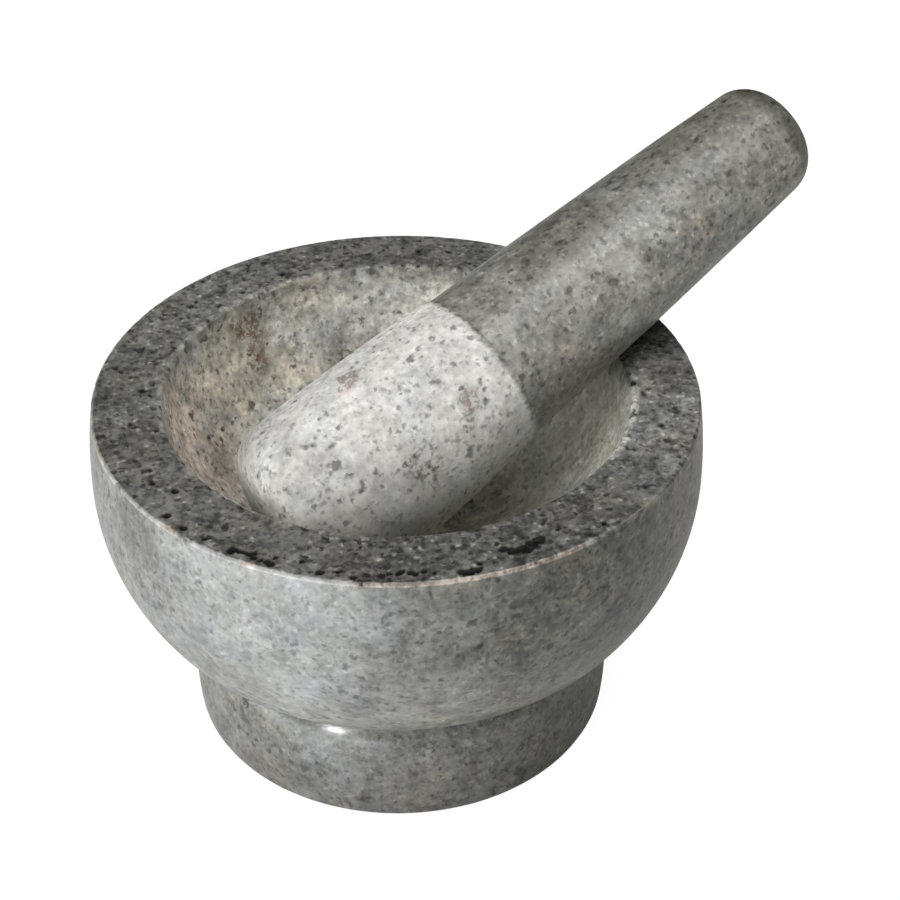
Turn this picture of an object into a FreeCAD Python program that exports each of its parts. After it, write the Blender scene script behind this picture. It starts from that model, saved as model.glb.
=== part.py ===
import FreeCAD, Part
import math
import os

import Sketcher

# Granite mortar and pestle, millimetres, +Z up.
# The origin is the centre of the flat underside of the mortar's foot.
# The front is -Y. The pestle's handle leans over the rim towards +X and partly towards +Y.
#
# Each piece is one turned solid:
#   mortar - foot, groove, bowl, flat rim and spherical cavity, about the Z axis
#   pestle - domed head and tapered handle, about its own long axis

doc = FreeCAD.newDocument("MortarAndPestle")

# ------------------------------------------------------------------ driving dimensions
DIMENSIONS = [
    # mortar, heights measured up from the foot's underside
    ("total_height", 92.0, "top of the flat rim"),
    ("rim_radius", 73.5, "outer edge of the rim, before it is eased"),
    ("belly_radius", 75.0, "widest part of the bowl"),
    ("belly_height", 73.0, "height of the widest part"),
    ("flank_radius", 65.6, "bowl where the belly turns under"),
    ("flank_height", 42.0, "height of that turn"),
    ("skirt_radius", 58.2, "lower edge of the bowl, seen over the foot"),
    ("skirt_height", 34.7, "height of that edge"),
    ("groove_radius", 48.8, "bottom of the groove between bowl and foot"),
    ("groove_height", 30.6, "height of the groove"),
    ("shoulder_radius", 49.6, "inner end of the foot's rounded shoulder"),
    ("shoulder_height", 29.7, "height of that end"),
    ("shoulder_round", 5.6, "radius of the shoulder"),
    ("foot_top_radius", 52.8, "foot where the shoulder begins"),
    ("foot_top_height", 24.6, "height where the shoulder begins"),
    ("foot_swell", 70.0, "radius of the foot's slightly barrelled side"),
    ("foot_base_radius", 53.5, "foot at its underside"),
    ("mouth_radius", 56.8, "edge of the cavity, before it is eased"),
    ("cavity_depth", 48.6, "rim to the bottom of the cavity"),
    ("rim_ease", 1.3, "rounding of the outer rim edge"),
    ("mouth_ease", 1.3, "rounding of the cavity's edge"),
    ("base_ease", 1.6, "rounding around the underside"),
    ("groove_ease", 0.7, "rounding at the bottom of the groove"),
    # pestle, lengths measured along its axis from the end of the head
    ("pestle_length", 167.0, "overall"),
    ("head_dome", 46.0, "radius of the domed working end"),
    ("head_radius", 23.25, "thickest part of the head"),
    ("head_shoulder", 13.1, "where the dome's corner meets the side"),
    ("head_side_bow", 555.0, "radius of the head's slightly bowed side"),
    ("collar_radius", 20.95, "end of the ground head"),
    ("collar_position", 63.6, "where the ground head ends"),
    ("collar_step", 1.6, "length of the soft step down to the handle"),
    ("handle_radius", 20.35, "start of the polished handle"),
    ("handle_bow", 3060.0, "radius of the handle's slightly bowed side"),
    ("grip_radius", 15.13, "handle where its end rounds over"),
    ("grip_round", 9.55, "length of the rounded end"),
    ("grip_dome", 40.0, "radius of the domed handle end"),
    # how the pestle rests: head against the cavity wall, handle across the rim's inner edge
    ("lean_elevation", 21.0, "handle's rise above level, degrees"),
    ("lean_azimuth", 34.8, "direction the handle points, degrees from +X"),
    ("tip_x", -29.353, "end of the head"),
    ("tip_y", -34.532, "end of the head"),
    ("tip_z", 73.762, "end of the head"),
]
params = doc.addObject("Spreadsheet::Sheet", "Params")
for row, (alias, number, note) in enumerate(DIMENSIONS, start=1):
    params.set("A%d" % row, alias)
    params.set("B%d" % row, repr(number))
    params.setAlias("B%d" % row, alias)
    params.set("C%d" % row, note)
doc.recompute()


def value(alias):
    return float(getattr(params, alias))


# ------------------------------------------------------------------ sketch helpers
# A profile is a closed chain of sides run anticlockwise. Each side is known by its geometry
# index, and its points by these position numbers.
START, END, CENTRE = 1, 2, 3
ORIGIN = (-1, START)
X_AXIS, Y_AXIS = -1, -2


def profile_sketch(body, name):
    """An empty sketch on the body's XZ plane; sketch Y is the turning axis."""
    plane = next(item for item in body.Origin.OriginFeatures if item.Role == "XZ_Plane")
    sketch = body.newObject("Sketcher::SketchObject", name)
    sketch.AttachmentSupport = [(plane, "")]
    sketch.MapMode = "FlatFace"
    return sketch


def add_line(sketch, start, end):
    ends = [FreeCAD.Vector(x, y, 0) for x, y in (start, end)]
    return sketch.addGeometry(Part.LineSegment(*ends), False)


def add_arc(sketch, start, end, radius):
    """An anticlockwise arc of less than half a turn."""
    dx, dy = end[0] - start[0], end[1] - start[1]
    chord = math.hypot(dx, dy)
    rise = math.sqrt(radius * radius - chord * chord / 4.0)
    centre_x = (start[0] + end[0]) / 2.0 - rise * dy / chord
    centre_y = (start[1] + end[1]) / 2.0 + rise * dx / chord
    start_angle = math.atan2(start[1] - centre_y, start[0] - centre_x)
    end_angle = math.atan2(end[1] - centre_y, end[0] - centre_x)
    if end_angle < start_angle:
        end_angle += 2 * math.pi
    centre = FreeCAD.Vector(centre_x, centre_y, 0)
    circle = Part.Circle(centre, FreeCAD.Vector(0, 0, 1), radius)
    return sketch.addGeometry(Part.ArcOfCircle(circle, start_angle, end_angle), False)


def constrain(sketch, kind, *target):
    return sketch.addConstraint(Sketcher.Constraint(kind, *target))


def join(sketch, side, following):
    constrain(sketch, "Coincident", side, END, following, START)


def join_smooth(sketch, side, following):
    """Join two sides with a shared tangent."""
    constrain(sketch, "Tangent", side, END, following, START)


def on_axis(sketch, side, position):
    constrain(sketch, "PointOnObject", side, position, Y_AXIS)


def level(sketch, arc, position):
    """Put an arc's centre level with one end, so its tangent there runs along the axis."""
    constrain(sketch, "Horizontal", arc, CENTRE, arc, position)


def drive(sketch, kind, name, formula, number, *target):
    """A named dimension that follows a formula over the sheet, starting at number."""
    index = constrain(sketch, kind, *target, number)
    sketch.renameConstraint(index, name)
    sketch.setExpression("Constraints." + name, formula)


def drive_radius(sketch, arc, alias):
    drive(sketch, "Radius", alias, "Params." + alias, value(alias), arc)


def drive_point(sketch, name, side, position, place, height_formula=None):
    """Hold a point at Params.<name>_radius and, by default, Params.<name>_height."""
    height_formula = height_formula or "Params.%s_height" % name
    end = (side, position)
    drive(sketch, "DistanceX", name + "_x", "Params.%s_radius" % name, place[0], *ORIGIN, *end)
    drive(sketch, "DistanceY", name + "_y", height_formula, place[1], *ORIGIN, *end)


def revolve(body, kind, name, sketch):
    """Turn a profile a full turn about its Y axis."""
    doc.recompute()
    feature = body.newObject(kind, name)
    feature.Profile = sketch
    feature.ReferenceAxis = (sketch, ["V_Axis"])
    feature.Angle = 360.0
    sketch.Visibility = False
    doc.recompute()
    return feature


# ------------------------------------------------------------------ mortar
# Starting radii only: the tangent joins settle the final ones.
UNDER_START_RADIUS = 33.7
SKIRT_START_RADIUS = 25.3


def level_arc_radius(end, far):
    """Radius of the arc through two points whose tangent at end runs along the axis."""
    dx, dy = end[0] - far[0], end[1] - far[1]
    return (dx * dx + dy * dy) / (2.0 * dx)


def turn_outside(body):
    """The solid blank: foot, groove, bowl and rim."""
    sketch = profile_sketch(body, "OutsideProfile")
    foot_top, shoulder, groove, skirt, flank, belly = [
        (value(name + "_radius"), value(name + "_height"))
        for name in ("foot_top", "shoulder", "groove", "skirt", "flank", "belly")
    ]
    base = (value("foot_base_radius"), 0.0)
    rim = (value("rim_radius"), value("total_height"))
    bottom_centre, top_centre = (0.0, 0.0), (0.0, rim[1])

    underside = add_line(sketch, bottom_centre, base)
    foot_side = add_arc(sketch, base, foot_top, value("foot_swell"))
    foot_shoulder = add_arc(sketch, foot_top, shoulder, value("shoulder_round"))
    groove_wall = add_line(sketch, shoulder, groove)
    bowl_under = add_arc(sketch, groove, skirt, UNDER_START_RADIUS)
    bowl_skirt = add_arc(sketch, skirt, flank, SKIRT_START_RADIUS)
    bowl_flank = add_arc(sketch, flank, belly, level_arc_radius(belly, flank))
    bowl_brow = add_arc(sketch, belly, rim, level_arc_radius(belly, rim))
    rim_top = add_line(sketch, rim, top_centre)
    core = add_line(sketch, top_centre, bottom_centre)

    constrain(sketch, "Coincident", underside, START, *ORIGIN)
    constrain(sketch, "PointOnObject", underside, END, X_AXIS)
    drive(sketch, "DistanceX", "base_end_x", "Params.foot_base_radius", base[0],
          *ORIGIN, underside, END)
    join(sketch, underside, foot_side)
    drive_point(sketch, "foot_top", foot_side, END, foot_top)
    drive_radius(sketch, foot_side, "foot_swell")
    join(sketch, foot_side, foot_shoulder)
    drive_point(sketch, "shoulder", foot_shoulder, END, shoulder)
    drive_radius(sketch, foot_shoulder, "shoulder_round")
    join(sketch, foot_shoulder, groove_wall)
    drive_point(sketch, "groove", groove_wall, END, groove)
    join(sketch, groove_wall, bowl_under)
    join_smooth(sketch, bowl_under, bowl_skirt)
    drive_point(sketch, "skirt", bowl_skirt, START, skirt)
    join_smooth(sketch, bowl_skirt, bowl_flank)
    drive_point(sketch, "flank", bowl_flank, START, flank)
    level(sketch, bowl_flank, END)
    join(sketch, bowl_flank, bowl_brow)
    drive_point(sketch, "belly", bowl_brow, START, belly)
    level(sketch, bowl_brow, START)
    join(sketch, bowl_brow, rim_top)
    drive_point(sketch, "rim", rim_top, START, rim, "Params.total_height")
    constrain(sketch, "Horizontal", rim_top)
    on_axis(sketch, rim_top, END)
    join(sketch, rim_top, core)
    constrain(sketch, "Coincident", core, END, *ORIGIN)
    revolve(body, "PartDesign::Revolution", "TurnedOutside", sketch)


def grind_cavity(body):
    """Cut part of a sphere into the top of the blank."""
    sketch = profile_sketch(body, "CavityProfile")
    radius, depth, top = value("mouth_radius"), value("cavity_depth"), value("total_height")
    sphere_radius = (radius * radius + depth * depth) / (2.0 * depth)
    floor, mouth, top_centre = (0.0, top - depth), (radius, top), (0.0, top)

    wall = add_arc(sketch, floor, mouth, sphere_radius)
    lid = add_line(sketch, mouth, top_centre)
    stem = add_line(sketch, top_centre, floor)

    on_axis(sketch, wall, START)
    on_axis(sketch, wall, CENTRE)
    drive(sketch, "DistanceY", "floor_height", "Params.total_height - Params.cavity_depth",
          floor[1], *ORIGIN, wall, START)
    drive_point(sketch, "mouth", wall, END, mouth, "Params.total_height")
    join(sketch, wall, lid)
    constrain(sketch, "Horizontal", lid)
    on_axis(sketch, lid, END)
    join(sketch, lid, stem)
    join(sketch, stem, wall)
    return revolve(body, "PartDesign::Groove", "Cavity", sketch)


def circle_edge(shape, radius, height, slack=0.05):
    """Name of the circular edge of that radius at that height."""
    for number, edge in enumerate(shape.Edges, start=1):
        if edge.Degenerated:  # a seam's point on the axis has no curve
            continue
        curve = edge.Curve
        if (
            isinstance(curve, Part.Circle)
            and abs(curve.Radius - radius) < slack
            and abs(curve.Center.z - height) < slack
        ):
            return "Edge%d" % number
    raise RuntimeError("no circular edge of radius %g at height %g" % (radius, height))


def ease_edges(body, feature):
    """Round the mortar's edges one after another."""
    top = value("total_height")
    # feature name, alias of the rounding, alias of the edge's radius, edge height
    eases = [
        ("RimEase", "rim_ease", "rim_radius", top),
        ("MouthEase", "mouth_ease", "mouth_radius", top),
        ("BaseEase", "base_ease", "foot_base_radius", 0.0),
        ("GrooveEase", "groove_ease", "groove_radius", value("groove_height")),
    ]
    for name, ease_alias, radius_alias, height in eases:
        edge = circle_edge(feature.Shape, value(radius_alias), height)
        fillet = body.newObject("PartDesign::Fillet", name)
        fillet.Base = (feature, [edge])
        fillet.Radius = value(ease_alias)
        fillet.setExpression("Radius", "Params." + ease_alias)
        doc.recompute()
        feature = fillet
    body.Tip = feature


def make_mortar():
    body = doc.addObject("PartDesign::Body", "Mortar")
    body.Label = "mortar"
    turn_outside(body)
    ease_edges(body, grind_cavity(body))
    return body


# ------------------------------------------------------------------ pestle
def corner_blend(dome, reach, run):
    """The corner arc that blends a dome into a side.

    reach is the side's radius and run its distance from the dome's apex. Returns the corner's
    radius, then the radius and the distance from the apex where it touches the dome.
    """
    corner = (dome * dome - reach * reach - (dome - run) ** 2) / (2.0 * (dome - reach))
    across, along = reach - corner, dome - run
    size = math.hypot(across, along)
    return corner, dome * across / size, dome - dome * along / size


def turn_pestle(body):
    """Upright, with the end of the head at the body's origin."""
    sketch = profile_sketch(body, "PestleProfile")
    length = value("pestle_length")
    head = (value("head_radius"), value("head_shoulder"))
    collar = (value("collar_radius"), value("collar_position"))
    handle = (value("handle_radius"), collar[1] + value("collar_step"))
    grip = (value("grip_radius"), length - value("grip_round"))
    head_corner, touch_x, touch_run = corner_blend(value("head_dome"), *head)
    head_touch = (touch_x, touch_run)
    grip_corner, touch_x, touch_run = corner_blend(
        value("grip_dome"), grip[0], value("grip_round"))
    grip_touch = (touch_x, length - touch_run)
    head_tip, handle_tip = (0.0, 0.0), (0.0, length)

    dome = add_arc(sketch, head_tip, head_touch, value("head_dome"))
    dome_corner = add_arc(sketch, head_touch, head, head_corner)
    head_side = add_arc(sketch, head, collar, value("head_side_bow"))
    collar_step = add_line(sketch, collar, handle)
    handle_side = add_arc(sketch, handle, grip, value("handle_bow"))
    end_corner = add_arc(sketch, grip, grip_touch, grip_corner)
    end_dome = add_arc(sketch, grip_touch, handle_tip, value("grip_dome"))
    spine = add_line(sketch, handle_tip, head_tip)

    constrain(sketch, "Coincident", dome, START, *ORIGIN)
    on_axis(sketch, dome, CENTRE)
    drive_radius(sketch, dome, "head_dome")
    join_smooth(sketch, dome, dome_corner)
    drive_point(sketch, "head", dome_corner, END, head, "Params.head_shoulder")
    level(sketch, dome_corner, END)
    join(sketch, dome_corner, head_side)
    drive_point(sketch, "collar", head_side, END, collar, "Params.collar_position")
    drive_radius(sketch, head_side, "head_side_bow")
    join(sketch, head_side, collar_step)
    drive_point(sketch, "handle", collar_step, END, handle,
                "Params.collar_position + Params.collar_step")
    join(sketch, collar_step, handle_side)
    drive_point(sketch, "grip", handle_side, END, grip,
                "Params.pestle_length - Params.grip_round")
    drive_radius(sketch, handle_side, "handle_bow")
    join(sketch, handle_side, end_corner)
    level(sketch, end_corner, START)
    join_smooth(sketch, end_corner, end_dome)
    drive_radius(sketch, end_dome, "grip_dome")
    on_axis(sketch, end_dome, CENTRE)
    on_axis(sketch, end_dome, END)
    drive(sketch, "DistanceY", "end_height", "Params.pestle_length", length,
          *ORIGIN, end_dome, END)
    join(sketch, end_dome, spine)
    constrain(sketch, "Coincident", spine, END, *ORIGIN)
    body.Tip = revolve(body, "PartDesign::Revolution", "TurnedPestle", sketch)


def lean_pestle(body):
    """Tip it from upright about a level axis square to the direction its handle points."""
    placement = {
        "Base.x": "Params.tip_x",
        "Base.y": "Params.tip_y",
        "Base.z": "Params.tip_z",
        "Rotation.Axis.x": "-sin(Params.lean_azimuth * 1 deg)",
        "Rotation.Axis.y": "cos(Params.lean_azimuth * 1 deg)",
        "Rotation.Axis.z": "0",
        "Rotation.Angle": "(90 - Params.lean_elevation) * 1 deg",
    }
    for path, formula in placement.items():
        body.setExpression("Placement." + path, formula)
    doc.recompute()


def make_pestle():
    body = doc.addObject("PartDesign::Body", "Pestle")
    body.Label = "pestle"
    turn_pestle(body)
    lean_pestle(body)
    return body


mortar = make_mortar()
pestle = make_pestle()

# ------------------------------------------------------------------ checks and files
for item in doc.Objects:
    if "Invalid" in item.State or "Error" in item.State:
        raise RuntimeError("%s is %s" % (item.Name, item.State))
    if item.TypeId == "Sketcher::SketchObject":
        if item.solve() != 0 or not item.FullyConstrained:
            raise RuntimeError("%s isn't fully constrained" % item.Name)
for body in (mortar, pestle):
    if body.Shape.isNull() or not body.Shape.isValid() or len(body.Shape.Solids) != 1:
        raise RuntimeError(body.Label + " isn't one valid solid")

OVERLAP_LIMIT = 0.001  # cubic millimetres
overlap = mortar.Shape.common(pestle.Shape).Volume
if overlap > OVERLAP_LIMIT:
    raise RuntimeError("mortar and pestle overlap by %g mm3" % overlap)

os.makedirs("parts", exist_ok=True)
for body in (mortar, pestle):
    body.Shape.exportStep(os.path.join("parts", body.Label + ".step"))
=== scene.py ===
"""Granite mortar and pestle on a pale floor.

The mortar stands on z = 0 with its axis on +Z. The pestle is turned along its own +Z from the
tip of its head, then leaned: the head lies in the hollow on the -X -Y side and the handle
rises over the rim towards +X +Y. The camera looks from -Y, so front is -Y and right is +X.
Shapes and stone patterns are in millimetres; the scene, lights and camera are in metres.
"""
import math
import random
from functools import reduce
from itertools import product

import bpy
from mathutils import Matrix, Vector, noise


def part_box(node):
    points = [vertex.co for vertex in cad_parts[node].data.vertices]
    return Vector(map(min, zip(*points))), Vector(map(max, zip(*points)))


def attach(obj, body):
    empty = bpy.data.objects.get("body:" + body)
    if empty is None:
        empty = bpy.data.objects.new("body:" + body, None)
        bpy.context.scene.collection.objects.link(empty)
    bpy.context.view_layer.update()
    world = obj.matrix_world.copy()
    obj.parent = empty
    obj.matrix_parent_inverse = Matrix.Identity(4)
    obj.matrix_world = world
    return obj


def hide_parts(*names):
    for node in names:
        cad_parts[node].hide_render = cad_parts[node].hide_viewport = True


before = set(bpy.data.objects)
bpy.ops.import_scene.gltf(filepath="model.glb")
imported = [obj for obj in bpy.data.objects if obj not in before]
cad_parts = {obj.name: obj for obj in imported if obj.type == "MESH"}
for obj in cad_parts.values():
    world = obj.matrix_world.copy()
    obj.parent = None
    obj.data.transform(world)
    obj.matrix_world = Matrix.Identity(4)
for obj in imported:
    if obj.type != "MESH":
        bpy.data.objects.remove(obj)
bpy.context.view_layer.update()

MM = 0.001
(mortar_left, _, _), (mortar_right, _, RIM_HEIGHT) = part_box("mortar")  # metres

# ---------------------------------------------------------------- mortar sizes, mm
# profile points are (radius, height)
TOP = RIM_HEIGHT / MM  # rim plane
BELLY = ((mortar_right - mortar_left) / 2.0 / MM, 73.0)  # widest point
RIM_R = 73.5
FLANK = (65.6, 42.0)
SKIRT = (58.2, 34.7)
SHOULDER = (49.5, 29.0)
FOOT_TOP = (53.1, 21.4)
FOOT_BASE = 53.5
RIM_EASE, MOUTH_EASE, BASE_EASE = 0.95, 1.3, 1.6  # rounding of the three edges
MOUTH_R, DEPTH = 56.8, 48.6
SPHERE = (MOUTH_R ** 2 + DEPTH ** 2) / (2 * DEPTH)  # radius of the hollow
SPHERE_Z = TOP - DEPTH + SPHERE
# radius where the flat of the rim ends and the mouth's rounding starts
MOUTH_FLAT = math.sqrt((SPHERE + MOUTH_EASE) ** 2 - (SPHERE_Z - TOP + MOUTH_EASE) ** 2)
HOLLOW_FROM = 38.0  # a height below the hollow's floor
WALL_ARC = 55.81    # radius of the wall below the belly, as the pores follow it

WALL_SIDES, RIM_SIDES = 360, 720
UNDERSIDE = (  # radius, sides
    (3.5, 45), (7, 90), (12, 90), (18, 180), (24, 180), (30, 180), (36, 180), (42, 180),
    (47, 360), (50.5, 360),
)
GROOVE = ((49.2, 29.5), (48.98, 29.9), (48.95, 30.35), (48.98, 30.72), (49.35, 30.9))
HOLLOW_ROWS = 64

# ---------------------------------------------------------------- pestle sizes, mm
# profile points are (radius, distance from the tip)
LENGTH = 167.0
HEAD, COLLAR, HANDLE = (23.25, 13.1), (20.95, 63.6), (20.35, 65.2)
COLLAR_STEP = ((20.86, 63.95), (20.66, 64.4), (20.46, 64.85))
TIP_DOME, END_DOME = 46.0, 40.0  # radii of the two end faces
END_RUN = 9.55                   # how far the rounded end reaches down the handle
GRIP = (15.13, LENGTH - END_RUN)
PESTLE_SIDES = 288
LEAN_UP, LEAN_ROUND = math.radians(21.0), math.radians(34.8)
TIP = Vector((-29.353, -34.532, 73.762))


# ---------------------------------------------------------------- profile helpers
def arc(start, end, radius, steps):
    """Points after start, up to and including end; the centre lies left of the way there."""
    dx, dy = end[0] - start[0], end[1] - start[1]
    chord = math.hypot(dx, dy)
    rise = math.sqrt(max(radius * radius - chord * chord / 4.0, 0.0))
    cx = (start[0] + end[0]) / 2.0 - rise * dy / chord
    cy = (start[1] + end[1]) / 2.0 + rise * dx / chord
    first = math.atan2(start[1] - cy, start[0] - cx)
    last = math.atan2(end[1] - cy, end[0] - cx)
    if last < first:
        last += 2 * math.pi
    angles = [first + (last - first) * k / steps for k in range(1, steps + 1)]
    return [(cx + radius * math.cos(a), cy + radius * math.sin(a)) for a in angles]


def level_radius(end, far):
    """Radius of the arc from far that runs straight up at end."""
    dr, dh = end[0] - far[0], end[1] - far[1]
    return (dr * dr + dh * dh) / (2.0 * dr)


def corner_radius(dome, reach, run):
    """Radius of the corner between a dome and a side at radius reach, run behind the crown."""
    return (dome * dome - reach * reach - (dome - run) ** 2) / (2.0 * (dome - reach))


def corner_touch(dome, reach, run):
    """Where that corner meets the dome: radius, and distance behind the crown."""
    across, along = reach - corner_radius(dome, reach, run), dome - run
    size = math.hypot(across, along)
    return dome * across / size, dome - dome * along / size


def ease(x, off, full):
    """Smooth step: 0 at off, 1 at full."""
    t = min(max((x - off) / (full - off), 0.0), 1.0)
    return t * t * (3 - 2 * t)


def on_circle(angle, radius, z):
    return radius * math.cos(angle), radius * math.sin(angle), z


# ---------------------------------------------------------------- surface of revolution
class Turned:
    """Quads between rings; where the count doubles or halves, a five-sided face per coarse side."""

    def __init__(self):
        self.points, self.faces = [], []
        self.last = None  # start index and count of the newest ring
        self.end = None   # radius and height reached so far

    def ring(self, radius, z, sides):
        ring = (len(self.points), sides)
        self.points += [on_circle(2 * math.pi * i / sides, radius, z) for i in range(sides)]
        self.link(self.last, ring)
        self.last, self.end = ring, (radius, z)

    def arc_to(self, end, radius, counts):
        """One ring for each count, along an arc from where the profile has got to."""
        for (r, z), sides in zip(arc(self.end, end, radius, len(counts)), counts):
            self.ring(r, z, sides)
        self.end = end

    def pole(self, z):
        """A point on the axis that opens the profile, or closes it."""
        index = len(self.points)
        self.points.append((0.0, 0.0, z))
        if self.last is None:
            self.last, self.end = (index, 1), (0.0, z)
        else:
            s, n = self.last
            self.faces += [(s + i, s + (i + 1) % n, index) for i in range(n)]

    def link(self, lower, upper):
        (s, n), (t, m) = lower, upper
        for i in range(min(n, m) if n > 1 else m):
            if n == 1:
                face = (s, t + (i + 1) % m, t + i)
            elif n == m:
                j = (i + 1) % n
                face = (s + i, s + j, t + j, t + i)
            elif m == 2 * n:
                j = (i + 1) % n
                face = (s + i, s + j, t + (2 * j) % m, t + 2 * i + 1, t + 2 * i)
            elif n == 2 * m:
                j = (i + 1) % m
                face = (s + 2 * i, s + 2 * i + 1, s + (2 * j) % n, t + j, t + i)
            else:
                raise ValueError("ring counts %d and %d don't match" % (n, m))
            self.faces.append(face)

    def build(self, name, surface):
        """surface(point) gives a vertex's final place and how deep it lies in a pit."""
        moved = [surface(Vector(point)) for point in self.points]
        mesh = bpy.data.meshes.new(name)
        mesh.from_pydata([tuple(c * MM for c in place) for place, _ in moved], [], self.faces)
        mesh.update()
        pit = mesh.attributes.new("pit", "FLOAT", "POINT")
        pit.data.foreach_set("value", [hole for _, hole in moved])
        # the piece's own millimetres, kept for its material when the mesh is laid in place
        own = mesh.attributes.new("own", "FLOAT_VECTOR", "POINT")
        own.data.foreach_set("vector", [c for place, _ in moved for c in place])
        for polygon in mesh.polygons:
            polygon.use_smooth = True
        obj = bpy.data.objects.new(name, mesh)
        bpy.context.scene.collection.objects.link(obj)
        return obj


# ---------------------------------------------------------------- pits and unevenness
rng = random.Random(7)  # shared: rim pits, wall pores and pestle pits are drawn in that order


def any_angle():
    return rng.uniform(0, 2 * math.pi)


def pit_field(count, place, radius, depth):
    """Pits (x, y, z, radius, depth) at place(); radius and depth are (least, most)."""
    return [
        (*place(),
         radius[0] + (radius[1] - radius[0]) * rng.random() ** 2,
         depth[0] + (depth[1] - depth[0]) * rng.random() ** 1.5)
        for _ in range(count)
    ]


class Pits:
    """Finds the pits near a point by a coarse grid."""

    CELL = 4.0

    def __init__(self, pits):
        self.grid = {}
        for pit in pits:
            self.grid.setdefault(self.key(pit[:3]), []).append(pit)

    def key(self, point):
        return tuple(int(math.floor(c / self.CELL)) for c in point)

    def depth(self, point):
        deepest = 0.0
        kx, ky, kz = self.key(point)
        for i, j, k in product((-1, 0, 1), repeat=3):
            for x, y, z, radius, depth in self.grid.get((kx + i, ky + j, kz + k), ()):
                gap = (point[0] - x) ** 2 + (point[1] - y) ** 2 + (point[2] - z) ** 2
                q = gap / (radius * radius)
                if q < 1.0:
                    deepest = max(deepest, depth * (1 - q) ** 1.3)
        return deepest


def uneven(v, *waves):
    """Sum of noise waves, each (height in mm, scale per mm, seed)."""
    return sum(
        height * noise.noise(
            Vector((v.x * scale + seed, v.y * scale - seed, v.z * scale + 0.5 * seed)))
        for height, scale, seed in waves
    )


# ---------------------------------------------------------------- mortar shape
def mortar_profile():
    body = Turned()
    wall = [WALL_SIDES]
    body.pole(0.0)
    for radius, sides in UNDERSIDE:
        body.ring(radius, 0.0, sides)
    body.ring(FOOT_BASE - BASE_EASE + 0.15, 0.0, WALL_SIDES)
    body.arc_to((FOOT_BASE + 0.12, BASE_EASE), BASE_EASE * 1.08, wall * 6)
    body.arc_to(FOOT_TOP, 70.0, wall * 20)
    body.arc_to(SHOULDER, 15.5, wall * 16)
    for radius, z in GROOVE:
        body.ring(radius, z, WALL_SIDES)
    body.arc_to(SKIRT, 33.7, wall * 10)
    body.arc_to(FLANK, 25.3, wall * 12)
    body.arc_to(BELLY, level_radius(BELLY, FLANK), wall * 28)
    body.arc_to((RIM_R + 0.08, TOP - RIM_EASE), 121.0, wall * 15)

    flat_from, flat_rings = RIM_R - RIM_EASE, 24
    body.arc_to((flat_from, TOP), RIM_EASE * 1.03, [RIM_SIDES] * 8)
    for k in range(1, flat_rings + 1):
        body.ring(flat_from + (MOUTH_FLAT - flat_from) * k / flat_rings, TOP, RIM_SIDES)
    inward = SPHERE / (SPHERE + MOUTH_EASE)
    mouth_low = (MOUTH_FLAT * inward, SPHERE_Z - (SPHERE_Z - TOP + MOUTH_EASE) * inward)
    body.arc_to(mouth_low, MOUTH_EASE, [RIM_SIDES] * 7)

    opening = math.asin(mouth_low[0] / SPHERE)
    for k in range(1, HOLLOW_ROWS):
        angle = opening * (1 - k / HOLLOW_ROWS)
        radius = SPHERE * math.sin(angle)
        sides = 360 if radius > 22 else 180 if radius > 9 else 90 if radius > 3 else 45
        body.ring(radius, SPHERE_Z - SPHERE * math.cos(angle), sides)
    body.pole(TOP - DEPTH)
    return body


def on_rim():
    return on_circle(any_angle(), rng.uniform(MOUTH_FLAT + 0.5, RIM_R - 1.0), TOP)


def on_edge():
    return on_circle(any_angle(), RIM_R, TOP - rng.uniform(0.0, 0.8))


def on_mouth():
    return on_circle(any_angle(), MOUTH_R + 0.6, TOP - rng.uniform(0.0, 1.2))


def on_wall():
    angle, z = any_angle(), rng.uniform(34.0, TOP - 3.0)
    inset = 0.0
    if z <= BELLY[1]:
        inset = WALL_ARC - math.sqrt(max(WALL_ARC ** 2 - (BELLY[1] - z) ** 2, 0.0))
    return on_circle(angle, BELLY[0] - inset, z)


def crack(azimuths, radii, count):
    """A run of overlapping pits across the rim, from one azimuth and radius to another."""
    pits = []
    for k in range(count):
        f = (k + rng.uniform(-0.3, 0.3)) / (count - 1)
        angle = math.radians(azimuths[0] + (azimuths[1] - azimuths[0]) * f)
        radius = radii[0] + (radii[1] - radii[0]) * f + rng.uniform(-1.1, 1.1)
        pits.append((*on_circle(angle, radius, TOP), rng.uniform(0.75, 1.35),
                     rng.uniform(0.45, 0.9)))
    return pits


CRACKS = (  # azimuths in degrees, radii, pits
    ((-70.5, -66.5), (66.6, 68.2), 11),
    ((-66.5, -62.0), (68.2, 66.6), 12),
    ((-79.5, -75.5), (71.4, 70.2), 10),
    ((-93.0, -86.0), (70.6, 68.8), 7),
    ((-121.0, -113.0), (71.2, 70.2), 8),
)
CHIPS = (  # azimuth in degrees, radius, radius of the pit
    (-137, 70.5, 1.3), (-132, 71.0, 1.2), (-127, 70.8, 0.9), (-121, 71.2, 1.3),
    (-117, 69.5, 0.9), (-113, 71.4, 1.3), (-108, 68.4, 0.9), (-104, 71.0, 1.2),
    (-101, 70.1, 0.9), (-98, 71.6, 1.0), (-142, 64.0, 1.1), (-147, 66.5, 0.9),
    (-93, 70.9, 0.9), (-84, 70.2, 0.8), (-50, 70.5, 0.9),
)
CHIP_DEPTH = 0.7

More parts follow.
